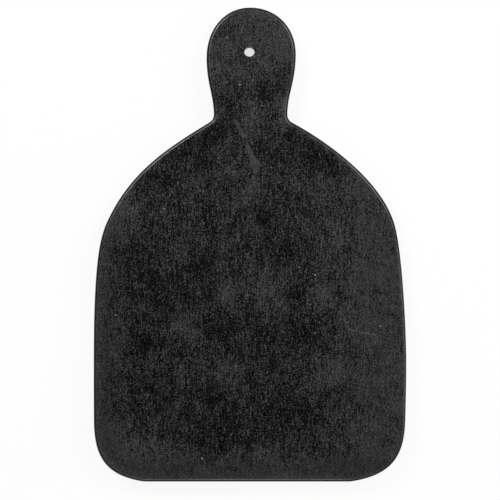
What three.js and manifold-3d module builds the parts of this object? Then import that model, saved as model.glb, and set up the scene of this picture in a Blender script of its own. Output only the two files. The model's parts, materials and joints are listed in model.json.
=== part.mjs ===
// A honed black marble serving board: one paddle-shaped slab with a hanging hole in its handle,
// standing on four stick-on bumper feet. Millimetres, +Z up, +Y towards the handle. The origin is
// on the table, under the middle of the board.

import * as THREE from 'three';
import { mergeVertices } from 'three/addons/utils/BufferGeometryUtils.js';
import Module from 'manifold-3d';

const wasm = await Module();
wasm.setup();

// Slab
const boardLength = 381;
const boardWidth = 251.3;
const slabThickness = 12.7;
const arrisRadius = 2.5;

// Outline sizes that both sides share. Drops are measured down from the handle's end, or from the
// neck, and rises up from the straight bottom edge. Insets are measured in from the widest line, and
// slopes, in degrees, from the horizontal.
const neckDrop = 86;
const neckFillet = 7.3;
const bendDrop = 90.7;
const bendInset = 8.8;
const flankRise = 92;
const cornerRise = 50.3;
const cornerSlope = 8;

// The board is cut by hand, so its two sides differ a little. Reaches are measured out from the
// centre line, and runs in from the widest line.
const leftSide = {
  headReach: 35,
  headDrop: 40.6,
  neckReach: 29.1,
  shoulderSlope: 31.5,
  shoulderPull: [0.325, 0.405],
  bendSlope: 67.3,
  flankInset: 0.1,
  cornerRun: 40.6,
};
const rightSide = {
  headReach: 36.8,
  headDrop: 37.6,
  neckReach: 30,
  shoulderSlope: 28,
  shoulderPull: [0.235, 0.333],
  bendSlope: 76,
  flankInset: 0.8,
  cornerRun: 45.3,
};

// How far each curve follows its end directions, as shares of that curve's own span
const headPull = 0.58;
const taperPull = [0.45, 0.33];
const sidePull = [0.2, 0.29];
const cornerPull = [0.43, 0.525];

// Hanging hole, drilled through the middle of the handle's head
const holeDiameter = 8.4;
const holeDrop = 35.5;
const holeShift = -0.5;
const holeEasing = 0.6;

// Bumper feet and the adhesive discs that hold them. The draft, in degrees, is the slope of a foot's
// side, and the crown is how far the rounding round its flat reaches along the flat and up the side.
const footDiameter = 12.7;
const footHeight = 2.75;
const footFlange = 0.5;
const footDraft = 20;
const footCrown = 0.9;
const adhesiveThickness = 0.25;
const adhesiveInset = 0.5;

// Places of the feet: a lower pair near the bottom corners and an upper pair under the shoulders,
// each the same way in from the edge of the slab
const footEdgeInset = 26;
const lowerFootRise = 30;
const upperFootDrop = 58;

// Fineness of the round stretches
const headSteps = 14;
const taperSteps = 6;
const neckSteps = 7;
const shoulderSteps = 14;
const sideSteps = 8;
const cornerSteps = 12;
const arrisSteps = 4;
const easingSteps = 3;
const crownSteps = 3;
const holeFacets = 40;
const footFacets = 40;

// Working values
const handleEnd = boardLength / 2;
const bottomEdge = -boardLength / 2;
const neckLevel = handleEnd - neckDrop;
const slabUnderside = footHeight + adhesiveThickness;
const drillOvershoot = slabThickness;

const materials = {
  honedMarble: () => new THREE.MeshStandardMaterial({ color: 0x2b2b2b, roughness: 0.62, metalness: 0 }),
  clearSilicone: () => new THREE.MeshStandardMaterial({ color: 0xbfc3c4, roughness: 0.35, metalness: 0 }),
  adhesiveFilm: () => new THREE.MeshStandardMaterial({ color: 0xd9d6c8, roughness: 0.5, metalness: 0 }),
};

// A point a share of a span away from another, in a given direction
function pulled(point, direction, share, span) {
  return point.clone().addScaledVector(direction, share * span);
}

// The direction that falls at an angle, in degrees, below the outward horizontal
function falling(slope) {
  const angle = THREE.MathUtils.degToRad(slope);
  return new THREE.Vector2(Math.cos(angle), -Math.sin(angle));
}

// One side of the outline, from the handle's end down to the bottom edge, with X as the reach
function sideOutline(side) {
  const out = new THREE.Vector2(1, 0);
  const down = new THREE.Vector2(0, -1);

  const apex = new THREE.Vector2(0, handleEnd);
  const head = new THREE.Vector2(side.headReach, handleEnd - side.headDrop);
  const headCurve = new THREE.CubicBezierCurve(
    apex,
    pulled(apex, out, headPull, side.headReach),
    pulled(head, down, -headPull, side.headDrop),
    head,
  );

  const neck = new THREE.Vector2(side.neckReach, neckLevel);
  const taperSpan = head.y - neck.y;
  const taperCurve = new THREE.CubicBezierCurve(
    head,
    pulled(head, down, taperPull[0], taperSpan),
    pulled(neck, down, -taperPull[1], taperSpan),
    neck,
  );

  const shoulderFall = THREE.MathUtils.degToRad(side.shoulderSlope);
  const filletArc = new THREE.EllipseCurve(
    neck.x + neckFillet,
    neck.y,
    neckFillet,
    neckFillet,
    Math.PI,
    1.5 * Math.PI - shoulderFall,
  );

  const shoulder = filletArc.getPoint(1);
  const bend = new THREE.Vector2(boardWidth / 2 - bendInset, neckLevel - bendDrop);
  const shoulderSpan = shoulder.distanceTo(bend);
  const bendFall = falling(side.bendSlope);
  const shoulderCurve = new THREE.CubicBezierCurve(
    shoulder,
    pulled(shoulder, falling(side.shoulderSlope), side.shoulderPull[0], shoulderSpan),
    pulled(bend, bendFall, -side.shoulderPull[1], shoulderSpan),
    bend,
  );

  const flank = new THREE.Vector2(boardWidth / 2, bottomEdge + flankRise);
  const sideSpan = bend.distanceTo(flank);
  const sideCurve = new THREE.CubicBezierCurve(
    bend,
    pulled(bend, bendFall, sidePull[0], sideSpan),
    pulled(flank, down, -sidePull[1], sideSpan),
    flank,
  );

  const corner = new THREE.Vector2(boardWidth / 2 - side.flankInset, bottomEdge + cornerRise);
  const flankLine = new THREE.LineCurve(flank, corner);
  const flankFall = corner.clone().sub(flank).normalize();

  const foot = new THREE.Vector2(boardWidth / 2 - side.cornerRun, bottomEdge);
  const cornerSpan = corner.distanceTo(foot);
  const footRise = falling(-cornerSlope);
  const cornerCurve = new THREE.CubicBezierCurve(
    corner,
    pulled(corner, flankFall, cornerPull[0], cornerSpan),
    pulled(foot, footRise, cornerPull[1], cornerSpan),
    foot,
  );

  const stretches = [
    [headCurve, headSteps],
    [taperCurve, taperSteps],
    [filletArc, neckSteps],
    [shoulderCurve, shoulderSteps],
    [sideCurve, sideSteps],
    [flankLine, 1],
    [cornerCurve, cornerSteps],
  ];
  const points = [apex];
  for (const [curve, steps] of stretches) {
    points.push(...curve.getSpacedPoints(steps).slice(1));
  }
  return points;
}

// How far one side reaches out from the centre line at a level of the board's body
function reachAt(points, level) {
  const below = points.findIndex((point) => point.y < level);
  const upper = points[below - 1];
  const lower = points[below];
  const share = (upper.y - level) / (upper.y - lower.y);
  return THREE.MathUtils.lerp(upper.x, lower.x, share);
}

// A solid for cutting, from a closed geometry
function toSolid(geometry) {
  const bare = geometry.clone();
  bare.deleteAttribute('normal');
  bare.deleteAttribute('uv');
  const merged = mergeVertices(bare, 1e-4);
  const mesh = new wasm.Mesh({
    numProp: 3,
    vertProperties: new Float32Array(merged.attributes.position.array),
    triVerts: new Uint32Array(merged.index.array),
  });
  return new wasm.Manifold(mesh);
}

// A geometry from a cut solid
function toGeometry(solid) {
  const mesh = solid.getMesh();
  const geometry = new THREE.BufferGeometry();
  geometry.setAttribute('position', new THREE.BufferAttribute(mesh.vertProperties, 3));
  geometry.setIndex(new THREE.BufferAttribute(mesh.triVerts, 1));
  geometry.computeVertexNormals();
  return geometry;
}

// The drill's shape: a straight bore whose two rims are eased, running past both faces
function holeTool() {
  const bore = holeDiameter / 2;
  const rim = bore + holeEasing;
  const profile = [new THREE.Vector2(0, -drillOvershoot), new THREE.Vector2(rim, -drillOvershoot)];
  const lowerRim = [];
  for (let step = 0; step <= easingSteps; step += 1) {
    const angle = (step / easingSteps) * (Math.PI / 2);
    lowerRim.push(new THREE.Vector2(rim - holeEasing * Math.sin(angle), holeEasing * (1 - Math.cos(angle))));
  }
  const upperRim = lowerRim.map((point) => new THREE.Vector2(point.x, slabThickness - point.y)).reverse();
  profile.push(...lowerRim, ...upperRim);
  profile.push(new THREE.Vector2(rim, slabThickness + drillOvershoot));
  profile.push(new THREE.Vector2(0, slabThickness + drillOvershoot));
  const tool = new THREE.LatheGeometry(profile, holeFacets);
  tool.rotateX(Math.PI / 2);
  tool.translate(holeShift, handleEnd - holeDrop, 0);
  return tool;
}

// The slab, with its rounded arris all round and the hanging hole drilled through it
function marbleSlab(rightPoints, leftPoints) {
  const mirrored = leftPoints.map((point) => new THREE.Vector2(-point.x, point.y)).reverse();
  const outline = new THREE.Shape([...rightPoints, ...mirrored.slice(0, -1)]);
  const blank = new THREE.ExtrudeGeometry(outline, {
    depth: slabThickness - 2 * arrisRadius,
    bevelThickness: arrisRadius,
    bevelSize: arrisRadius,
    bevelOffset: -arrisRadius,
    bevelSegments: arrisSteps,
  });
  blank.translate(0, 0, arrisRadius);
  return toGeometry(toSolid(blank).subtract(toSolid(holeTool())));
}

// A bumper foot, turned about its own axis: a straight flange under the adhesive, sides that taper
// in, and a rounded edge round the flat that stands on the table
function bumperFoot() {
  const draft = THREE.MathUtils.degToRad(footDraft);
  const sideTop = new THREE.Vector2(footDiameter / 2, footHeight - footFlange);
  const sharpEdge = new THREE.Vector2(sideTop.x - sideTop.y * Math.tan(draft), 0);
  const flatEnd = new THREE.Vector2(sharpEdge.x - footCrown, 0);
  const sideEnd = new THREE.Vector2(sharpEdge.x + footCrown * Math.sin(draft), footCrown * Math.cos(draft));
  const crown = new THREE.QuadraticBezierCurve(flatEnd, sharpEdge, sideEnd);
  const profile = [
    new THREE.Vector2(0, 0),
    ...crown.getPoints(crownSteps),
    sideTop,
    new THREE.Vector2(footDiameter / 2, footHeight),
    new THREE.Vector2(0, footHeight),
  ];
  const foot = new THREE.LatheGeometry(profile, footFacets);
  foot.rotateX(Math.PI / 2);
  return foot;
}

// The adhesive disc, die-cut a little smaller than the foot that it holds
function adhesiveDisc() {
  const radius = footDiameter / 2 - adhesiveInset;
  const disc = new THREE.CylinderGeometry(radius, radius, adhesiveThickness, footFacets);
  disc.rotateX(Math.PI / 2);
  return disc;
}

function namedMesh(name, geometry, material) {
  const mesh = new THREE.Mesh(geometry, material);
  mesh.name = name;
  return mesh;
}

const rightPoints = sideOutline(rightSide);
const leftPoints = sideOutline(leftSide);

const board = new THREE.Group();
const slab = namedMesh('marble_board', marbleSlab(rightPoints, leftPoints), materials.honedMarble());
slab.position.z = slabUnderside;
board.add(slab);

const footRows = [
  ['lower', bottomEdge + lowerFootRise],
  ['upper', neckLevel - upperFootDrop],
];
const boardSides = [
  ['left', leftPoints, -1],
  ['right', rightPoints, 1],
];
const middleOfFilm = footHeight + adhesiveThickness / 2;
for (const [row, level] of footRows) {
  for (const [side, points, direction] of boardSides) {
    const x = direction * (reachAt(points, level) - footEdgeInset);
    const foot = namedMesh(`bumper_foot_${row}_${side}`, bumperFoot(), materials.clearSilicone());
    foot.position.set(x, level, 0);
    const disc = namedMesh(`adhesive_disc_${row}_${side}`, adhesiveDisc(), materials.adhesiveFilm());
    disc.position.set(x, level, middleOfFilm);
    board.add(foot, disc);
  }
}

export default board;
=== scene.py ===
# %% [markdown]
# A marble serving board
#
# The real thing is one slab of black marble, sawn to a paddle outline, honed to a matt skin, eased all
# round its edge and drilled through the handle so that it can hang. Four clear bumpers are stuck under
# it. This lesson rebuilds it piece by piece: first the frame from the CAD model, then the camera, the
# stone, the bumpers and their adhesive, and at the end the finishes and the light.

# %% Load the CAD model as a fixed frame
import json
import math

import bmesh
import bpy
import numpy as np
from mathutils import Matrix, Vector


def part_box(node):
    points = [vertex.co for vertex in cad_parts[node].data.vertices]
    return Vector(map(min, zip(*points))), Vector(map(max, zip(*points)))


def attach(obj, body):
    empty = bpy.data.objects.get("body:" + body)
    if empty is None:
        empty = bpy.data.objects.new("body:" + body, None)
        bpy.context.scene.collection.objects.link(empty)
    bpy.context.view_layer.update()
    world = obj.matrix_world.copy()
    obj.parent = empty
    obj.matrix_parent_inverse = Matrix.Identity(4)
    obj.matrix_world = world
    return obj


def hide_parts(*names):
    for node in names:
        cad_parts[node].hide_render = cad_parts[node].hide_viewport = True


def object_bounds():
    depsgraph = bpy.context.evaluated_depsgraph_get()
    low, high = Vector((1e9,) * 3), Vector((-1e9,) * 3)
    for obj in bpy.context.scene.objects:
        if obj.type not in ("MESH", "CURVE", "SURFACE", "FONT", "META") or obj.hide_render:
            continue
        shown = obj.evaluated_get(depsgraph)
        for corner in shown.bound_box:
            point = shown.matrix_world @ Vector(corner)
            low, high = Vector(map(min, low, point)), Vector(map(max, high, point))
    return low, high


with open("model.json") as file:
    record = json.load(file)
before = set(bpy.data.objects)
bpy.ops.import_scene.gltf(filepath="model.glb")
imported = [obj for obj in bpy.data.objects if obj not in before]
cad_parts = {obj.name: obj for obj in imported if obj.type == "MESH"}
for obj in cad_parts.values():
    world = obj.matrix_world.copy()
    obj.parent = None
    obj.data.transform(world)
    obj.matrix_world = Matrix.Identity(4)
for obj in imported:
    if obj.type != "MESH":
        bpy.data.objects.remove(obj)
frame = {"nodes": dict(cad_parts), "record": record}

CAD_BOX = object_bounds()
SLAB_LOW, SLAB_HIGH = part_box("marble_board")
print("CAD box in mm:", [[round(1000 * side, 2) for side in corner] for corner in CAD_BOX])

# %% [markdown]
# The camera
#
# The board is seen square on, from above. The width of the picture follows from the length of the board
# in pixels and in metres. The hanging hole shows a little of its upper wall, and that tells how far away
# the camera stood: a nearer one would show a wider crescent of it. The lens then follows from the width
# and the distance, so it doesn't have to be found by trial.

# %% Look straight down, as the photograph does
PHOTO_SIDE = 500
BOARD_TOP_ROW = 7.50
BOARD_BOTTOM_ROW = 481.64
BOARD_MIDDLE_COLUMN = 250.04
CAMERA_HEIGHT = 1.25
CAMERA_REACH = 100
SENSOR = 36.0
ARRIS = 0.0025

METRES_PER_PIXEL = (SLAB_HIGH.y - SLAB_LOW.y) / (BOARD_BOTTOM_ROW - BOARD_TOP_ROW)
BOARD_MIDDLE_ROW = (BOARD_TOP_ROW + BOARD_BOTTOM_ROW) / 2
WIDEST_LEVEL = SLAB_HIGH.z - ARRIS


def on_board(column, row):
    """The place on the board, in metres, of a pixel of the photograph."""
    x = (column - BOARD_MIDDLE_COLUMN) * METRES_PER_PIXEL
    y = (BOARD_MIDDLE_ROW - row) * METRES_PER_PIXEL
    return Vector((x, y))


view_centre = on_board(PHOTO_SIDE / 2, PHOTO_SIDE / 2)
bpy.ops.object.select_all(action="DESELECT")
bpy.ops.object.camera_add(location=(view_centre.x, view_centre.y, WIDEST_LEVEL + CAMERA_HEIGHT))
camera = bpy.context.object
camera.data.sensor_width = SENSOR
camera.data.lens = SENSOR * CAMERA_HEIGHT / (PHOTO_SIDE * METRES_PER_PIXEL)
camera.data.clip_end = CAMERA_REACH
bpy.context.scene.camera = camera
print("lens in mm:", round(camera.data.lens, 1), "mm per pixel:", round(1000 * METRES_PER_PIXEL, 4))

# %% [markdown]
# Working by operators
#
# Every step below is one that a hand would make in edit mode. An operator works on whatever is
# selected, so small helpers come first: one opens a piece in edit mode with nothing else selected, one
# selects vertices, edges or faces by a test of their place or direction, and one applies a modifier.

# %% Helpers for opening a piece and picking parts of it
SELECT_MODES = {"verts": "VERT", "edges": "EDGE", "faces": "FACE"}
TINY = 1e-5


def open_piece(piece):
    """Make the piece the only selected object and open it in edit mode."""
    bpy.ops.object.select_all(action="DESELECT")
    bpy.context.view_layer.objects.active = piece
    piece.select_set(True)
    bpy.ops.object.mode_set(mode="EDIT")


def pick(kind, test):
    """Select the vertices, edges or faces of the open piece that pass a test, and count them."""
    bpy.ops.mesh.select_mode(type=SELECT_MODES[kind])
    bpy.ops.mesh.select_all(action="DESELECT")
    mesh = bmesh.from_edit_mesh(bpy.context.edit_object.data)
    chosen = [part for part in getattr(mesh, kind) if test(part)]
    for part in chosen:
        part.select_set(True)
    mesh.select_flush_mode()
    bmesh.update_edit_mesh(bpy.context.edit_object.data)
    return len(chosen)


def apply_modifier(piece, kind, **settings):
    """Add a modifier with its settings to a closed piece, and apply it."""
    modifier = piece.modifiers.new(kind.lower(), kind)
    for name, value in settings.items():
        setattr(modifier, name, value)
    bpy.ops.object.modifier_apply(modifier=modifier.name)


print("helpers work on:", ", ".join(SELECT_MODES))

# %% [markdown]
# The outline of the stone
#
# A mason scribes the outline on the slab and saws along it. The CAD slab already holds that line, as the
# ring of vertices where its straight wall meets the rounded arris. The outline could be drawn again point
# by point, but a copy of the ring can't drift away from the solid that it stands for. A copy of the slab
# is merged, because the CAD model comes as loose triangles, and everything but that ring is deleted. The
# hole has a ring at the same level, so vertices near its axis are passed over.

# %% Find the hanging hole
hole_box = frame["record"]["physics"]["openings"][0]["box_m"]
HOLE = (Vector(hole_box[0]) + Vector(hole_box[1])) / 2
cad_slab = frame["nodes"]["marble_board"].data


def from_hole(point):
    """How far a point lies from the axis of the hanging hole."""
    return (point.xy - HOLE.xy).length


HOLE_RADIUS = min(from_hole(vertex.co) for vertex in cad_slab.vertices)
print("hole radius in mm:", round(1000 * HOLE_RADIUS, 2))

# %% Keep only the widest ring of the CAD slab
CLEAR_OF_HOLE = 3 * HOLE_RADIUS


def on_widest_ring(vertex):
    """Whether a vertex of the slab lies where the straight wall meets the upper arris."""
    return abs(vertex.co.z - WIDEST_LEVEL) < TINY and from_hole(vertex.co) > CLEAR_OF_HOLE


stone = bpy.data.objects.new("board_stone", cad_slab.copy())
bpy.context.scene.collection.objects.link(stone)
open_piece(stone)
bpy.ops.mesh.select_all(action="SELECT")
bpy.ops.mesh.remove_doubles(threshold=TINY)
ring_size = pick("verts", on_widest_ring)
bpy.ops.mesh.select_all(action="INVERT")
bpy.ops.mesh.delete(type="VERT")
print("CAD points on the outline:", ring_size)

# %% [markdown]
# A smooth line through the points
#
# The CAD outline is a chain of short straight edges, and the sawn one is a smooth sweep. A subdivision
# would round the chain, but it would also draw the line in from its points. So the ring is turned into a
# curve and back: automatic handles lead the curve smoothly through every point. The bottom is one long
# straight edge, where such handles would bulge, so it is cut into short ones first, and whatever still
# swings past it is flattened back onto the line.

# %% Turn the ring into a curve and back
OUTLINE_CUTS = 2
LONG_EDGE = 0.060
LONG_EDGE_CUTS = 24

long_edges = pick("edges", lambda e: e.calc_length() > LONG_EDGE)
bpy.ops.mesh.subdivide(number_cuts=LONG_EDGE_CUTS)
bpy.ops.mesh.select_all(action="SELECT")
bpy.ops.transform.translate(value=(0, 0, ARRIS))
bpy.ops.object.mode_set(mode="OBJECT")
bpy.ops.object.convert(target="CURVE")
bpy.ops.object.mode_set(mode="EDIT")
bpy.ops.curve.select_all(action="SELECT")
bpy.ops.curve.spline_type_set(type="BEZIER")
bpy.ops.curve.handle_type_set(type="AUTOMATIC")
bpy.ops.object.mode_set(mode="OBJECT")
stone.data.resolution_u = OUTLINE_CUTS
bpy.ops.object.convert(target="MESH")
print("long edges cut:", long_edges, "outline points:", len(stone.data.vertices))

# %% Flatten the bottom edge and fill the outline
bpy.ops.object.mode_set(mode="EDIT")
past_bottom = pick("verts", lambda v: v.co.y < SLAB_LOW.y)
bpy.ops.transform.resize(value=(1, 0, 1), center_override=(0, SLAB_LOW.y, 0))
bpy.ops.mesh.select_all(action="SELECT")
bpy.ops.mesh.edge_face_add()
print("points put back on the bottom edge:", past_bottom)

# %% [markdown]
# Rings along the rim
#
# The stone is rubbed a little more along its rim than in the middle, so the top needs rows of faces that
# follow the outline. Insets give them, each one further in. The face that is left in the middle could
# stay whole, but long thin triangles on a flat shade badly, so bisect cuts it into a plain grid.

# %% Inset the rim and cut the middle into a grid
RIM_STEPS = (0.004, 0.004, 0.006)
CELL = 0.010

for step in RIM_STEPS:
    bpy.ops.mesh.inset(thickness=step, use_even_offset=True)
bpy.ops.mesh.hide(unselected=True)
for axis, normal in ((0, (1, 0, 0)), (1, (0, 1, 0))):
    first = math.ceil((SLAB_LOW[axis] - HOLE[axis]) / CELL)
    last = math.floor((SLAB_HIGH[axis] - HOLE[axis]) / CELL)
    for line in range(first, last + 1):
        cut = HOLE + Vector(normal) * (line * CELL)
        bpy.ops.mesh.select_all(action="SELECT")
        bpy.ops.mesh.bisect(plane_co=cut, plane_no=normal)
bpy.ops.mesh.reveal()
print("faces on the top:", len(bmesh.from_edit_mesh(stone.data).faces))

# %% [markdown]
# The hanging hole
#
# On the real board a core drill cuts this after the slab is shaped. A boolean would do it here, but it
# leaves slivers. Because the grid was cut to cross at the hole's centre, four cells can go, and the edge
# of the gap is extruded inwards, pulled to a circle and extruded once more to the size of the drill.

# %% Open four cells and draw the gap in to a circle
HOLE_COLLAR = 0.003
HOLE_POINTS = 24
HOLE_TOP = (HOLE.x, HOLE.y, SLAB_HIGH.z)
GAP_REACH = 2 * CELL


def on_gap(edge):
    """Whether an edge borders the gap that is open for the hole."""
    return edge.is_boundary and max(from_hole(vertex.co) for vertex in edge.verts) < GAP_REACH


def draw_in(radius):
    """Extrude the gap's edge and bring the new ring to a circle of a radius."""
    pick("edges", on_gap)
    bpy.ops.mesh.extrude_edges_move()
    bpy.ops.transform.tosphere(value=1, center_override=HOLE_TOP)
    ring = [vertex for vertex in bmesh.from_edit_mesh(stone.data).verts if vertex.select]
    scale = radius * len(ring) / sum(from_hole(vertex.co) for vertex in ring)
    bpy.ops.transform.resize(value=(scale, scale, 1), center_override=HOLE_TOP)


pick("faces", lambda f: from_hole(f.calc_center_median()) < CELL)
bpy.ops.mesh.delete(type="FACE")
gap_edges = pick("edges", on_gap)
bpy.ops.mesh.subdivide(number_cuts=HOLE_POINTS // gap_edges - 1)
draw_in(HOLE_RADIUS + HOLE_COLLAR)
draw_in(HOLE_RADIUS)
print("edges round the gap:", gap_edges, "points on the hole:", HOLE_POINTS)

# %% [markdown]
# Thickness and eased edges
#
# The flat top is extruded down to the underside, which makes the outer wall and the hole's wall at once. A
# Solidify modifier would do the same, but an extrusion is seen as it is made. A few rows along the walls
# keep them straight later. Then the sharp rims are bevelled: the outer arris to a full round, as a mason
# eases it with a hand pad, and the hole's rim only enough not to cut a cord.

# %% Extrude the slab
WALL_CUTS = 2

bpy.ops.mesh.select_all(action="SELECT")
bpy.ops.mesh.extrude_region_move(TRANSFORM_OT_translate={"value": (0, 0, SLAB_LOW.z - SLAB_HIGH.z)})
bpy.ops.mesh.select_all(action="SELECT")
bpy.ops.mesh.normals_make_consistent(inside=False)
upright_edges = pick("edges", lambda e: abs(e.verts[0].co.z - e.verts[1].co.z) > TINY)
bpy.ops.mesh.subdivide(number_cuts=WALL_CUTS)
print("upright edges cut:", upright_edges)

# %% Round the rims
ARRIS_SEGMENTS = 4
HOLE_EASING = 0.0006
UPRIGHT = 0.1
FLAT = 0.9


def is_rim(edge):
    """Whether a flat face meets an upright one at this edge, going by the rise of their normals."""
    rises = sorted(abs(face.normal.z) for face in edge.link_faces)
    return len(rises) == 2 and rises[0] < UPRIGHT and rises[1] > FLAT


pick("edges", lambda e: is_rim(e) and from_hole(e.verts[0].co) > CELL)
bpy.ops.mesh.bevel(offset=ARRIS, segments=ARRIS_SEGMENTS, affect="EDGES")
pick("edges", lambda e: is_rim(e) and from_hole(e.verts[0].co) < CELL)
bpy.ops.mesh.bevel(offset=HOLE_EASING, segments=ARRIS_SEGMENTS, affect="EDGES")
blank = bmesh.from_edit_mesh(stone.data)
open_edges = sum(not edge.is_manifold for edge in blank.edges)
print("slab volume in cm3:", round(1e6 * blank.calc_volume(), 1), "open edges:", open_edges)
bpy.ops.object.mode_set(mode="OBJECT")

# %% [markdown]
# How far from the edge
#
# A hand pad passes the rim more often than the middle, and both the shape and the finish change there.
# Neither a modifier nor a shader can see the outline. So once a subdivision has made the bevelled edges
# truly round, each vertex is measured from the nearest point of the wall, and keeps that distance in an
# attribute that the material reads later.

# %% Subdivide the stone and measure from its edge
apply_modifier(stone, "SUBSURF", levels=1, render_levels=1)
places = np.array([vertex.co[:] for vertex in stone.data.vertices])
slab_middle = (SLAB_LOW.z + SLAB_HIGH.z) / 2
from_middle = np.abs(places[:, 2] - slab_middle)
hole_distance = np.linalg.norm(places[:, :2] - np.array(HOLE.xy), axis=1)
wall_line = places[(hole_distance > CELL) & (from_middle < ARRIS)][:, :2]
edge_distance = np.array([np.min(np.hypot(*(wall_line - point[:2]).T)) for point in places])
attribute = stone.data.attributes.new("edge_distance", "FLOAT", "POINT")
attribute.data.foreach_set("value", edge_distance.astype(np.float32))
print("vertices:", len(places), "furthest from the edge in mm:", round(1000 * edge_distance.max(), 1))

# %% [markdown]
# An edge eased by hand
#
# A hand-eased edge is never quite even, so a soft cloud texture rubs the middle of each arris down by up to
# a few tenths of a millimetre. Sculpting could do it too, but not twice in the same way. A vertex group
# limits the modifier to the arris: the flats and the sawn outline stay true.

# %% Rub the arris down unevenly
HAND_WAVER = 0.0004
HAND_WAVER_LENGTH = 0.028
LEAST_RUB = 0.01

up_the_arris = (from_middle - (WIDEST_LEVEL - slab_middle)) / ARRIS
rubbed = np.sin(math.pi * np.clip(up_the_arris, 0, 1)) * (edge_distance < ARRIS)
arris_group = stone.vertex_groups.new(name="arris")
for index in np.flatnonzero(rubbed > LEAST_RUB):
    arris_group.add([int(index)], float(rubbed[index]), "REPLACE")
waver = bpy.data.textures.new("hand_waver", "CLOUDS")
waver.noise_scale = HAND_WAVER_LENGTH
apply_modifier(
    stone,
    "DISPLACE",
    texture=waver,
    texture_coords="LOCAL",
    vertex_group="arris",
    strength=HAND_WAVER,
    mid_level=1.0,
)
bpy.ops.object.shade_smooth()
print("vertices on the arris:", int(np.sum(rubbed > LEAST_RUB)))

# %% [markdown]
# The bumper feet
#
# Each foot is a moulded stud of clear silicone, wider at the glued end, with drafted sides and a flat
# that grips the table. A spun profile would give it, but a cylinder needs fewer steps: a bisect marks off
# the flange, the lower end is scaled in for the draft, its edge is bevelled, and its middle is inset and
# dished as moulded rubber shrinks. The flange is then eased, and a subdivision rounds the whole.

# %% Start a round piece
ROUND_SIDES = 32


def add_disc(name, low, high):
    """A plain cylinder that fills a box, open in edit mode, as the start of a round piece."""
    bpy.ops.object.select_all(action="DESELECT")
    bpy.ops.mesh.primitive_cylinder_add(
        vertices=ROUND_SIDES,
        radius=(high.x - low.x) / 2,
        depth=high.z - low.z,
        location=(low + high) / 2,
    )
    disc = bpy.context.object
    disc.name = name
    bpy.ops.object.transform_apply()
    bpy.ops.object.mode_set(mode="EDIT")
    return disc


foot_low, foot_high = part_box("bumper_foot_lower_left")
foot = add_disc("foot_lower_left", foot_low, foot_high)
print("foot starts as a cylinder of", ROUND_SIDES, "sides")

# %% Draw the foot in below its flange and round its crown
FOOT_FLANGE = 0.0005
FOOT_DRAFT = math.radians(20)
FOOT_CROWN = 0.0009
FOOT_CROWN_SEGMENTS = 3


def is_level(edge, level):
    """Whether both ends of an edge lie at one height."""
    return all(abs(vertex.co.z - level) < TINY for vertex in edge.verts)


foot_middle = (foot_low + foot_high) / 2
foot_radius = (foot_high.x - foot_low.x) / 2
flange_level = foot_high.z - FOOT_FLANGE
draft_run = (flange_level - foot_low.z) * math.tan(FOOT_DRAFT)
draft_scale = 1 - draft_run / foot_radius

bpy.ops.mesh.select_all(action="SELECT")
bpy.ops.mesh.bisect(plane_co=(0, 0, flange_level), plane_no=(0, 0, 1))
pick("faces", lambda f: f.normal.z < -FLAT)
bpy.ops.transform.resize(value=(draft_scale, draft_scale, 1), center_override=(*foot_middle.xy, foot_low.z))
pick("edges", lambda e: is_level(e, foot_low.z))
bpy.ops.mesh.bevel(offset=FOOT_CROWN, segments=FOOT_CROWN_SEGMENTS, affect="EDGES")
print("foot draws in by mm:", round(1000 * draft_run, 2))

# %% Dish the foot's flat and ease its flange
FOOT_DISH = 0.00012
DISH_SLOPE = 2 * FOOT_CROWN
FLANGE_EASING = FOOT_FLANGE / 5
FLANGE_SEGMENTS = 2
DEAD_FLAT = 0.99

pick("faces", lambda f: f.normal.z < -DEAD_FLAT)
bpy.ops.mesh.inset(thickness=FOOT_CROWN)
bpy.ops.mesh.inset(thickness=DISH_SLOPE)
bpy.ops.transform.translate(value=(0, 0, FOOT_DISH))
pick("edges", lambda e: is_level(e, foot_high.z) or is_level(e, flange_level))
bpy.ops.mesh.bevel(offset=FLANGE_EASING, segments=FLANGE_SEGMENTS, affect="EDGES")
pick("faces", lambda f: f.normal.z > DEAD_FLAT)
bpy.ops.mesh.inset(thickness=FOOT_CROWN)
bpy.ops.object.mode_set(mode="OBJECT")
apply_modifier(foot, "SUBSURF", levels=1, render_levels=1)
bpy.ops.object.shade_smooth()
print("foot vertices:", len(foot.data.vertices))

# %% [markdown]
# The adhesive films
#
# A disc of clear film with glue on both sides holds each foot. It is die-cut, so its edge is clean, and
# the foot's weight squeezes a thin bead of glue out at the middle of its edge. A plain disc would lack
# that bead, so a bisect cuts a ring round the middle of the wall and the ring is scaled out.

# %% Model one adhesive film
FILM_BEAD = 0.00006
FILM_MARGIN = 4 * FILM_BEAD
FILM_SMOOTH_ANGLE = math.radians(40)

film_low, film_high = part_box("adhesive_disc_lower_left")
film_middle = (film_low + film_high) / 2
film_radius = (film_high.x - film_low.x) / 2
bead_scale = 1 + FILM_BEAD / film_radius

film = add_disc("film_lower_left", film_low, film_high)
bpy.ops.mesh.select_all(action="SELECT")
bpy.ops.mesh.bisect(plane_co=film_middle, plane_no=(0, 0, 1))
pick("edges", lambda e: is_level(e, film_middle.z))
bpy.ops.transform.resize(value=(bead_scale, bead_scale, 1), center_override=film_middle)
pick("faces", lambda f: abs(f.normal.z) > DEAD_FLAT)
bpy.ops.mesh.inset(thickness=FILM_MARGIN, use_individual=True)
bpy.ops.object.mode_set(mode="OBJECT")
apply_modifier(film, "SUBSURF", levels=1, render_levels=1)
bpy.ops.object.shade_smooth_by_angle(angle=FILM_SMOOTH_ANGLE)
print("film vertices:", len(film.data.vertices))

# %% [markdown]
# The other three corners
#
# All four feet come from one mould, so one is modelled and copied. Linked copies would save memory, but
# each copy gets a mesh of its own here, because a finished piece keeps its place in its mesh. The CAD
# model says where each foot goes.

# %% Copy the foot and the film to the other three corners
FOOT_ROWS = ("lower", "upper")
FOOT_SIDES = ("left", "right")

feet = {"lower_left": foot}
films = {"lower_left": film}


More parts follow.
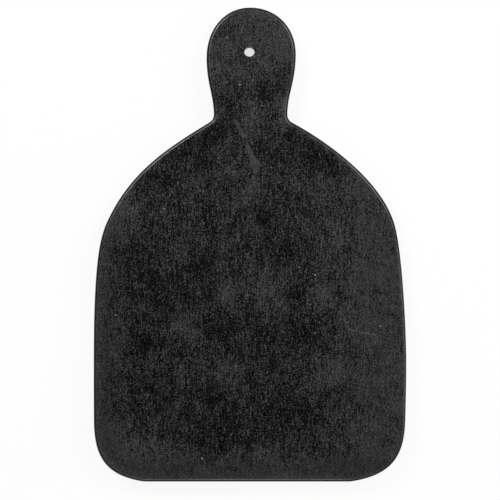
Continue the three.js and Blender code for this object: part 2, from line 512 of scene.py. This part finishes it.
def copy_to(model, name, move):
    """A copy of a finished piece with its own mesh, moved, with its place kept in that mesh."""
    bpy.ops.object.select_all(action="DESELECT")
    model.select_set(True)
    bpy.context.view_layer.objects.active = model
    bpy.ops.object.duplicate(linked=False)
    copy = bpy.context.object
    copy.name = name
    bpy.ops.transform.translate(value=move)
    bpy.ops.object.transform_apply()
    return copy


for row in FOOT_ROWS:
    for side in FOOT_SIDES:
        corner = f"{row}_{side}"
        if corner in feet:
            continue
        low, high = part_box(f"bumper_foot_{corner}")
        move = (low + high) / 2 - foot_middle
        feet[corner] = copy_to(foot, f"foot_{corner}", move)
        films[corner] = copy_to(film, f"film_{corner}", move)
print("feet:", sorted(feet))

# %% [markdown]
# Sums in a material
#
# A finish is mostly sums: a grain plus a cloud, less a pit. Wired by hand as nodes they take a whole
# screen, so a small class lets Python's own signs add the Math nodes, and one method adds any other node.

# %% A socket that can be added and multiplied
class Signal:
    """An output socket of a material, with Python's signs for Math nodes."""

    def __init__(self, socket):
        self.socket = socket

    def node(self, kind, inputs=None, output=0, **settings):
        """Any other node: its settings come first, then its inputs are set or linked."""
        tree = self.socket.id_data
        made = tree.nodes.new("ShaderNode" + kind)
        for name, value in settings.items():
            setattr(made, name, value)
        for name, value in (inputs or {}).items():
            if isinstance(value, Signal):
                tree.links.new(value.socket, made.inputs[name])
            else:
                made.inputs[name].default_value = value
        return Signal(made.outputs[output])

    def math(self, operation, first, second=0.0):
        return self.node("Math", {0: first, 1: second}, operation=operation)

    def __add__(self, other):
        return self.math("ADD", self, other)

    def __sub__(self, other):
        return self.math("SUBTRACT", self, other)

    def __rsub__(self, other):
        return self.math("SUBTRACT", other, self)

    def __mul__(self, other):
        return self.math("MULTIPLY", self, other)

    def __pow__(self, other):
        return self.math("POWER", self, other)

    __radd__ = __add__
    __rmul__ = __mul__

    def step(self, low, high):
        """Rises smoothly from 0 at one value to 1 at another, or falls where low is above high."""
        inputs = {"Value": self, "From Min": low, "From Max": high}
        return self.node("MapRange", inputs, interpolation_type="SMOOTHSTEP")

    def feed(self, shader, name):
        """Link this signal to one input of a shader or another node."""
        self.socket.id_data.links.new(self.socket, shader.inputs[name])


print("signs of a signal: + - * **")

# %% [markdown]
# Starting a finish
#
# Every finish begins alike: a material, its shader, and the coordinates of the piece itself, so that a
# pattern stays on the piece when it is turned or moved. Most patterns are a noise of a known size. Its size
# is given in metres, because that is how it would be measured on the real thing.

# %% Helpers for a finish
def new_finish(name):
    """A material with its shader, and the Object coordinates that its patterns are laid on."""
    material = bpy.data.materials.new(name)
    material.use_nodes = True
    shader = material.node_tree.nodes["Principled BSDF"]
    coordinates = material.node_tree.nodes.new("ShaderNodeTexCoord")
    return material, shader, Signal(coordinates.outputs["Object"])


def noise(place, size, detail=1.0, stretch=(1, 1, 1), shift=(0, 0, 0)):
    """Cloudy noise about 0, whose patches are about a size across, in metres, times the stretch."""
    scale = [1 / (size * share) for share in stretch]
    laid = place.node("Mapping", {"Vector": place, "Location": shift, "Scale": scale})
    return laid.node("TexNoise", {"Vector": laid, "Scale": 1.0, "Detail": detail}) - 0.5


def weigh(*pairs):
    """The sum of several signals, each times its weight."""
    return sum(signal * weight for signal, weight in pairs)


marble, marble_shader, place = new_finish("honed_marble")
print("finish begun:", marble.name)

# %% [markdown]
# Honed black marble
#
# Honing stops before the stone shines. It flattens the surface to smooth grey lands and leaves black pits
# between them, each about a millimetre across. Where the pits crowd together the stone looks black, and
# where the hone has taken them out it looks grey and even. A mix of two colours would blur that, so the
# finish is a fine noise, cut off at a level: the level moves with wider clouds, and with it both the tone
# and the contrast. The hone was drawn along the board, which leaves faint streaks, and here and there a
# crystal shows as a pale grain. Each noise is shifted by its own amount, so that no two have one pattern.

# %% The noise that the pits are cut from
GRAIN_SIZE = 0.0008
GRAIN_STRETCH = (1, 1.2, 1)
STREAK_STRETCH = (1, 9, 1)
FLECK_SIZE = 0.0007
FLECK_STRETCH = (1, 1.3, 1)
CRYSTAL_SIZE = 0.0009
CRYSTAL_CUT = (0.20, 0.32)
RAGGED_SIZE = 0.010
DRIFT_SIZE = 0.035

grain = noise(place, GRAIN_SIZE, detail=2.0, stretch=GRAIN_STRETCH)
streak = noise(place, GRAIN_SIZE, stretch=STREAK_STRETCH, shift=(5, 0, 0))
fleck = noise(place, FLECK_SIZE, stretch=FLECK_STRETCH, shift=(0, 0, 6))
crystals = noise(place, CRYSTAL_SIZE, shift=(0, 3, 8)).step(*CRYSTAL_CUT)
ragged = noise(place, RAGGED_SIZE, detail=3.0, stretch=GRAIN_STRETCH, shift=(0, 7, 0))
drift = noise(place, DRIFT_SIZE, detail=2.0, shift=(3, 1, 0))
print("marble nodes so far:", len(marble.node_tree.nodes))

# %% [markdown]
# Clouds in the stone
#
# Wider patches of paler and darker stone are laid where the photograph shows them, each as a soft round
# spot on coordinates that noise has bent, so that no spot stays round. Noise alone would give clouds of
# the same kind, but in other places. A spot is given as the column and row of a pixel, and its reach.

# %% Lay the clouds
BEND = 0.016
BEND_SCALE = 30.0
PALE_CLOUDS = (
    (290, 44, 26), (256, 119, 20), (284, 122, 14), (287, 104, 12), (118, 214, 38), (108, 436, 40),
    (108, 458, 44), (142, 462, 36), (186, 165, 9), (237, 172, 8), (263, 291, 36), (227, 289, 16),
    (229, 373, 24), (331, 374, 22), (326, 293, 16), (253, 190, 22), (185, 328, 24), (362, 188, 26),
)
DARK_CLOUDS = (
    (262, 91, 17), (216, 130, 26), (192, 154, 28), (157, 182, 16), (292, 140, 30), (320, 156, 26),
    (341, 174, 18), (270, 217, 14), (292, 246, 32), (200, 262, 20), (146, 274, 34), (143, 344, 22),
    (214, 330, 26), (301, 325, 26), (272, 344, 34), (220, 432, 52), (292, 404, 40),
)


def spot(place, column, row, reach):
    """A soft round spot, 1 in its middle, at a pixel of the photograph."""
    centre = on_board(column, row)
    size = reach * METRES_PER_PIXEL
    laid = {"Vector": place, "Location": (-centre.x / size, -centre.y / size, 0)}
    laid["Scale"] = (1 / size, 1 / size, 0)
    ball = place.node("TexGradient", {"Vector": place.node("Mapping", laid)}, gradient_type="SPHERICAL")
    return ball.step(0.0, 1.0)


waves = place.node("TexNoise", {"Vector": place, "Scale": BEND_SCALE, "Detail": 2.0}, output="Color")
centred = place.node("VectorMath", {0: waves, 1: (0.5, 0.5, 0.5)}, operation="SUBTRACT")
bent = place.node("VectorMath", {0: centred, 1: (BEND, BEND, 0), 2: place}, operation="MULTIPLY_ADD")
pale = sum(spot(bent, *cloud) for cloud in PALE_CLOUDS)
dark = sum(spot(bent, *cloud) for cloud in DARK_CLOUDS)
print("clouds:", len(PALE_CLOUDS) + len(DARK_CLOUDS))

# %% [markdown]
# The head, the sides and the bottom
#
# Hands and cloths have rubbed the stone smoother at the head, where the board is held, down both sides and
# along the bottom, on which it stands when it leans against a wall. A mask could be painted for each, but
# they are only bands: each rises from 0 to 1 between two lines across the board, and the bent coordinates
# make those lines ragged. At the head and on the right side the bands also lift the tone a little, and that
# lift is painted light, where the lamps brighten the face.

# %% Bands that are rubbed smooth
HEAD_BAND = (0.100, 0.170)
LEFT_BAND = (-0.093, -0.119)
RIGHT_BAND = (0.050, 0.105)
BOTTOM_BAND = (-0.160, -0.184)


def coordinate(place, name):
    """One of the three numbers of a place, by the name of its axis."""
    return place.node("SeparateXYZ", {"Vector": place}, output=name)


# These bands smooth the stone. At the head and on the right side they also lift the tone further on, as
# painted light.
head = coordinate(bent, "Y").step(*HEAD_BAND)
left_side = coordinate(bent, "X").step(*LEFT_BAND)
right_side = coordinate(bent, "X").step(*RIGHT_BAND)
bottom_strip = coordinate(bent, "Y").step(*BOTTOM_BAND)
print("marble nodes with the bands:", len(marble.node_tree.nodes))

# %% [markdown]
# The rim
#
# A hand pad eased the edge and ran over onto the face, so a smoother rim follows the outline. The rim is
# also paler, and that is painted light: the lamps brighten the face where it rounds over into the arris. An
# outline drawn in the material would have to be measured again, so the rim takes the distance that each
# vertex keeps. A noise breaks the rim up. It is weak on most of the left shoulder, and it hardly shows at
# the head and on the rubbed right side, but it is strong at the bottom and down the left side.

# %% A rim of uneven strength
RIM_BAND = (0.011, 0.000)
RIM_LEVEL = 0.8
RIM_PATCHES = 1.2
RIM_PATCH_SIZE = 0.025
RIM_WEAK_SHOULDER = (176, 150, 70)
RIM_WEAK_SHARE = 0.8
RUBBED_SHARE = 0.8

edge = place.node("Attribute", output="Fac", attribute_name="edge_distance")
# The rim smooths the stone, and further on it lifts the tone as painted light, where the lamps brighten the
# rounding edge.
rim = edge.step(*RIM_BAND) * (RIM_LEVEL + RIM_PATCHES * noise(place, RIM_PATCH_SIZE, shift=(0, 0, 4)))
rim = rim * (1 - RIM_WEAK_SHARE * spot(place, *RIM_WEAK_SHOULDER)) * (1 - RUBBED_SHARE * right_side)
rim = rim * (1 + weigh((bottom_strip, 0.8), (left_side, 0.5), (head, -0.7)))
print("marble nodes with the rim:", len(marble.node_tree.nodes))

# %% [markdown]
# Marks of use
#
# A pale scuff runs down from the neck like a drop, thin at first and ending in a blob. There are two
# faint scratches and a few pale specks. They could be modelled, but they have no depth to speak of. A
# stroke is the distance to a straight line between two points, and a speck is a very small spot.

# %% A stroke between two points
STROKE_SOFTNESS = 0.0010

x, y, z = (coordinate(place, name) for name in "XYZ")


def stroke(start, end):
    """1 along the line between two points, given as column, row and half width, and 0 outside it."""
    from_point = on_board(*start[:2])
    run = on_board(*end[:2]) - from_point
    over_x = x - from_point.x
    over_y = y - from_point.y
    along = (over_x * run.x + over_y * run.y) * (1 / run.length_squared)
    along = along.node("Clamp", {"Value": along})
    off_x = over_x - along * run.x
    off_y = over_y - along * run.y
    off = (off_x * off_x + off_y * off_y) ** 0.5
    width = (start[2] + along * (end[2] - start[2])) * METRES_PER_PIXEL
    return (width - off).step(-STROKE_SOFTNESS, STROKE_SOFTNESS)


def strongest(strokes):
    """The strongest of several strokes at each point."""
    result = strokes[0]
    for other in strokes[1:]:
        result = result.math("MAXIMUM", result, other)
    return result


print("strokes fade over mm:", 1000 * 2 * STROKE_SOFTNESS)

# %% Scuff, scratches and specks
SCUFF = (
    ((235, 121, 1.4), (244, 137, 1.6)),
    ((247, 144, 1.2), (251, 156, 2.2)),
    ((252, 157, 2.6), (255.5, 164, 5.4)),
    ((255.5, 164, 5.4), (255, 172, 1.8)),
)
SCRATCHES = (((133, 414, 0.5), (148, 438, 0.6)), ((348, 329, 0.5), (375, 335, 0.5)))
SPECKS = (
    (227, 38), (240, 85), (262, 106), (271, 116), (178, 183), (165, 209), (334, 233),
    (299, 267), (315, 275), (315, 333), (116, 315), (380, 326), (202, 458),
)
SPECK_REACH = 1.4

scuff = strongest([stroke(*ends) for ends in SCUFF])
scratches = strongest([stroke(*ends) for ends in SCRATCHES])
specks = sum(spot(place, column, row, SPECK_REACH) for column, row in SPECKS)
print("marks:", len(SCUFF) + len(SCRATCHES) + len(SPECKS))

# %% [markdown]
# The wall and the underside
#
# The wall is ground by hand along the edge, so fine level lines run round it. The outer part of the arris
# and the wall are also darkened, and that is painted shade, for the dark outline that runs round the
# board's edge. Nobody hones the underside: it still shows the shallow arcs that a large round saw leaves.
# Ring textures are too regular for them, so a noise is laid on nothing but the distance from one far
# centre. Two masks tell the top face and the underside from the wall by their height.

# %% Grinding lines and saw arcs
TOP_FROM = WIDEST_LEVEL + 0.80 * ARRIS
TOP_FULL = WIDEST_LEVEL + 0.95 * ARRIS
UNDER_FROM = SLAB_LOW.z + 0.25 * ARRIS
UNDER_FULL = SLAB_LOW.z + 0.05 * ARRIS
GRINDING_SIZE = 0.0006
GRINDING_STRETCH = (40, 40, 1)
SAW_CENTRE = Vector((0.35, -0.60))
SAW_SIZE = 0.0022

top_face = z.step(TOP_FROM, TOP_FULL)
under = z.step(UNDER_FROM, UNDER_FULL)
grinding = noise(place, GRINDING_SIZE, detail=2.0, stretch=GRINDING_STRETCH, shift=(2, 0, 0))
saw_x = x - SAW_CENTRE.x
saw_y = y - SAW_CENTRE.y
saw_radius = (saw_x * saw_x + saw_y * saw_y) ** 0.5
arcs = noise(place.node("CombineXYZ", {"X": saw_radius}), SAW_SIZE, detail=3.0)
print("marble nodes with the wall:", len(marble.node_tree.nodes))

# %% [markdown]
# Pits
#
# Everything meets here. First comes how smooth the stone is rubbed, from 0 to 1. Then the fine noise is
# cut off: what pushes its level up, such as a dark cloud, makes more pits, and what pulls it down, such as
# smooth stone or the scuff, leaves fewer. A hard cut would look printed, so it is softened.

# %% Cut the pits
PIT_LEVEL = 0.02
PIT_SOFTNESS = 0.32

smooth = weigh(
    (rim, 0.30), (left_side, 0.50), (right_side, 0.58), (head, 0.45), (bottom_strip, 0.75), (pale, 0.25),
)
smooth = smooth.math("MINIMUM", smooth, 1.0)
speckle = weigh((grain, 1.6), (streak, 0.55))
level = speckle - PIT_LEVEL + weigh(
    (ragged, 0.42), (drift, 0.20), (dark, 0.12), (smooth, -0.40), (pale, -0.08), (scuff, -0.45),
)
pits = level.step(-PIT_SOFTNESS, PIT_SOFTNESS)
print("marble nodes with the pits:", len(marble.node_tree.nodes))

# %% [markdown]
# Tone
#
# Black marble is grey all through, so its colour is a single number. Tones are added up as they look on
# screen, from 0 for black to 1 for white, because that is how they are read off a photograph, and are
# turned into the shader's linear colour at the end. Smooth lands are darker than pitted ones, because
# there the fine scratches that scatter light are gone, and their pale crystals show more.

# %% Add up the colour of the stone
LAND = 0.262
FLECK = 0.39
FLECKS_RUBBED_OFF = 0.3
FLECKS_SCUFFED_OFF = 0.4
CRYSTAL = 0.15
WALL_PAINTED_SHADE = 0.6
GRINDING_TONE = 0.12
UNDER_TONE = 0.170
DARKEST = 0.015
SCREEN_GAMMA = 2.2

flecks = FLECK * fleck * (1 - FLECKS_RUBBED_OFF * smooth) * (1 - FLECKS_SCUFFED_OFF * scuff)
tone = LAND - flecks + CRYSTAL * crystals * (1 + smooth)
tone = tone + weigh((smooth, -0.093), (pits, -0.300), (streak, -0.050), (pale, 0.012))
# Painted light: the rim, the right side and the head are lifted where the lamps brighten the face, and the
# left side is a little darker.
tone = tone + weigh((rim, 0.042), (left_side, -0.014), (right_side, 0.015), (head, 0.018))
tone = tone + weigh((scuff, -0.015), (scratches, 0.110), (specks, 0.350))
# Painted shade: the outer part of the arris and the wall are darkened, to draw the dark outline along the
# edge.
tone = tone * (1 - WALL_PAINTED_SHADE + WALL_PAINTED_SHADE * top_face) + GRINDING_TONE * grinding * (1 - top_face)
tone = tone * (1 - under) + (UNDER_TONE + weigh((arcs, 0.22), (grain, -0.25))) * under
colour = tone.math("MAXIMUM", tone, DARKEST) ** SCREEN_GAMMA
colour.feed(marble_shader, "Base Color")
print("marble nodes with the colour:", len(marble.node_tree.nodes))

# %% [markdown]
# Sheen and relief
#
# The base reflects little, because a pitted face scatters, and it scatters most in the pits and on the
# sawn underside. The inner half of the arris, which the pad has polished, gets a coat that catches the
# lamps as a thin broken line. The pits are too shallow to model, so a bump map gives them their relief.

# %% Set the sheen and the relief
LAND_ROUGHNESS = 0.38
SPECULAR = 0.07
POLISH_BAND = (0.0040, 0.0015)
POLISH_PATCHES = 1.6
POLISH_PATCH_SIZE = 0.020
POLISH_ROUGHNESS = 0.3
RELIEF_STRENGTH = 0.2
RELIEF_DEPTH = 0.00005

roughness = LAND_ROUGHNESS + weigh((pits, 0.15), (under, 0.15))
roughness.feed(marble_shader, "Roughness")
marble_shader.inputs["Specular IOR Level"].default_value = SPECULAR
patches = noise(place, POLISH_PATCH_SIZE, detail=2.0, shift=(9, 0, 0))
polish = top_face * edge.step(*POLISH_BAND) * (1.0 + POLISH_PATCHES * patches)
polish.feed(marble_shader, "Coat Weight")
marble_shader.inputs["Coat Roughness"].default_value = POLISH_ROUGHNESS
relief = speckle.step(PIT_SOFTNESS, -PIT_SOFTNESS)
bump = relief.node("Bump", {"Height": relief, "Strength": RELIEF_STRENGTH, "Distance": RELIEF_DEPTH})
bump.feed(marble_shader, "Normal")
print("marble nodes:", len(marble.node_tree.nodes))

# %% [markdown]
# Clear silicone and adhesive film
#
# The feet are clear rubber, moulded in a tool with a fine matt skin and clouded a little by handling. The
# film is a milky clear plastic, and small pockets of air stay under it where it was pressed on. One flat
# colour would look like paint, so both are mixed from a clean and a marked colour by a soft noise.

# %% Mix the clear silicone
SILICONE_CLEAN = (0.86, 0.88, 0.88, 1)
SILICONE_CLOUDED = (0.70, 0.73, 0.74, 1)
SILICONE_CLOUD_SIZE = 0.002
SILICONE_CLOUD_CUT = (-0.1, 0.3)
SILICONE_HAZE = 0.3
SILICONE_HAZE_PATCHES = 0.2
SILICONE_CLEARNESS = 0.8
SILICONE_IOR = 1.41
SKIN_SIZE = 0.0003
SKIN_STRENGTH = 0.2
SKIN_DEPTH = 0.00002


def mix_colours(share, first, second):
    """The first colour where a signal is 0, and the second where it is 1."""
    return share.node("Mix", {0: share, 6: first, 7: second}, output=2, data_type="RGBA")


silicone, silicone_shader, place = new_finish("clear_silicone")
cloud = noise(place, SILICONE_CLOUD_SIZE, detail=2.0)
clouded = mix_colours(cloud.step(*SILICONE_CLOUD_CUT), SILICONE_CLEAN, SILICONE_CLOUDED)
clouded.feed(silicone_shader, "Base Color")
haze = SILICONE_HAZE + SILICONE_HAZE_PATCHES * cloud
haze.feed(silicone_shader, "Roughness")
silicone_shader.inputs["Transmission Weight"].default_value = SILICONE_CLEARNESS
silicone_shader.inputs["IOR"].default_value = SILICONE_IOR
skin = noise(place, SKIN_SIZE, shift=(1, 0, 0))
moulded = skin.node("Bump", {"Height": skin, "Strength": SKIN_STRENGTH, "Distance": SKIN_DEPTH})
moulded.feed(silicone_shader, "Normal")
print("silicone nodes:", len(silicone.node_tree.nodes))

# %% Mix the adhesive film
FILM_GLUE = (0.69, 0.67, 0.58, 1)
FILM_AIR = (0.86, 0.85, 0.80, 1)
AIR_SIZE = 0.0012
AIR_CUT = (0.10, 0.20)
FILM_HAZE = 0.5
FILM_HAZE_PATCHES = 0.3
FILM_HAZE_SIZE = 0.001
FILM_CLEARNESS = 0.3

adhesive, adhesive_shader, place = new_finish("adhesive_film")
air = noise(place, AIR_SIZE).step(*AIR_CUT)
mix_colours(air, FILM_GLUE, FILM_AIR).feed(adhesive_shader, "Base Color")
haze = FILM_HAZE + FILM_HAZE_PATCHES * noise(place, FILM_HAZE_SIZE)
haze.feed(adhesive_shader, "Roughness")
adhesive_shader.inputs["Transmission Weight"].default_value = FILM_CLEARNESS
print("adhesive nodes:", len(adhesive.node_tree.nodes))

# %% [markdown]
# Onto the frame
#
# Each finished piece stands for its CAD node. The real board has no moving parts, so all of them ride on
# its only body.

# %% Dress the frame
def dress(piece, material, node):
    """Give a piece its finish and let it stand for a CAD node."""
    piece.data.materials.clear()
    piece.data.materials.append(material)
    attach(piece, "root")
    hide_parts(node)


dress(stone, marble, "marble_board")
for corner in feet:
    dress(feet[corner], silicone, f"bumper_foot_{corner}")
    dress(films[corner], adhesive, f"adhesive_disc_{corner}")

# %% [markdown]
# Table and backdrop
#
# The board lies on a white table that runs out to a round white wall, so that no horizon shows. More light
# would make them white, but it would bleach the stone too. So most of the white that the eye sees is a glow
# for the rays that come from the camera, a reflection or clear rubber. What is left of the table's own
# shading keeps the board's shadow, and far from the board there is none to keep. The ground that shows
# through the hole lies in the board's shade, so it glows a little less.

# %% A white that the lamps don't have to make
TABLE_WHITE = (0.95, 0.95, 0.95, 1)
TABLE_ROUGHNESS = 0.9
TABLE_GLOW = 0.90
SHADOW_BAND = (0.35, 1.0)
HOLE_SHADE = 0.17
HOLE_SHADE_SPOT = (249.4, 52, 34)

table_white, table_shader, place = new_finish("table_white")
table_shader.inputs["Base Color"].default_value = TABLE_WHITE
table_shader.inputs["Roughness"].default_value = TABLE_ROUGHNESS
table_shader.inputs["Specular IOR Level"].default_value = 0.0
ray_kinds = place.node("LightPath").socket.node.outputs
seen = sum(Signal(ray_kinds[f"Is {kind} Ray"]) for kind in ("Camera", "Glossy", "Transmission"))
seen = seen.node("Clamp", {"Value": seen})
away = place.node("VectorMath", {0: place}, output="Value", operation="LENGTH")
glow_share = TABLE_GLOW + (1 - TABLE_GLOW) * away.step(*SHADOW_BAND)
glow_share = glow_share - HOLE_SHADE * spot(place, *HOLE_SHADE_SPOT)
glow = place.node("Emission", {"Color": (1, 1, 1, 1), "Strength": 1.0})
shown = place.node("MixShader", {0: glow_share * seen, 1: Signal(table_shader.outputs[0]), 2: glow})
shown.feed(table_white.node_tree.nodes["Material Output"], "Surface")
print("table nodes:", len(table_white.node_tree.nodes))

# %% Set up the table and the backdrop
TABLE_RADIUS = 30
BACKDROP_HEIGHT = 12
TABLE_TOP = (0, 0, CAD_BOX[0].z)

bpy.ops.object.select_all(action="DESELECT")
bpy.ops.mesh.primitive_circle_add(radius=TABLE_RADIUS, fill_type="NGON", location=TABLE_TOP)
table = bpy.context.object
table.name = "table"
bpy.ops.mesh.primitive_cylinder_add(
    radius=TABLE_RADIUS,
    depth=BACKDROP_HEIGHT,
    end_fill_type="NOTHING",
    location=TABLE_TOP,
)
backdrop = bpy.context.object
backdrop.name = "backdrop"
for stage in (table, backdrop):
    stage.data.materials.append(table_white)
print("table stands at", round(1000 * CAD_BOX[0].z, 3), "mm")

# %% [markdown]
# Light
#
# Black stone shows little but what it mirrors, so the lamps stand low round the board, where the flat face
# throws them past the camera and only the rounded arris catches them. Two soft boxes behind the handle draw
# the bright lines on the shoulders, and two more fill the right side and the front. One lamp overhead
# would be simpler, but it would lay a grey veil over the face.

# %% Lamps and world
WORLD_LEVEL = 0.1
WORLD_COLOUR = (1, 1, 1, 1)


def add_softbox(name, azimuth, elevation, distance, size, power):
    """A square lamp that faces the board from a compass angle, 0 at the handle's end, and a height."""
    turn = math.radians(azimuth)
    rise = math.radians(elevation)
    across = Vector((math.sin(turn), math.cos(turn), 0)) * math.cos(rise)
    stand = (across + Vector((0, 0, math.sin(rise)))) * distance
    bpy.ops.object.select_all(action="DESELECT")
    bpy.ops.object.light_add(type="AREA", location=stand)
    lamp = bpy.context.object
    lamp.name = name
    lamp.rotation_euler = stand.to_track_quat("Z", "Y").to_euler()
    lamp.data.size = size
    lamp.data.energy = power


add_softbox("softbox_left", azimuth=-42, elevation=42, distance=1.5, size=0.55, power=13.5)
add_softbox("softbox_right", azimuth=52, elevation=40, distance=1.5, size=0.55, power=10)
add_softbox("fill_right", azimuth=95, elevation=18, distance=1.6, size=0.9, power=12)
add_softbox("fill_front", azimuth=180, elevation=42, distance=1.6, size=0.7, power=5)

world = bpy.context.scene.world or bpy.data.worlds.new("studio")
bpy.context.scene.world = world
world.use_nodes = True
world.node_tree.nodes["Background"].inputs["Color"].default_value = WORLD_COLOUR
world.node_tree.nodes["Background"].inputs["Strength"].default_value = WORLD_LEVEL
bpy.context.scene.view_settings.view_transform = "Standard"
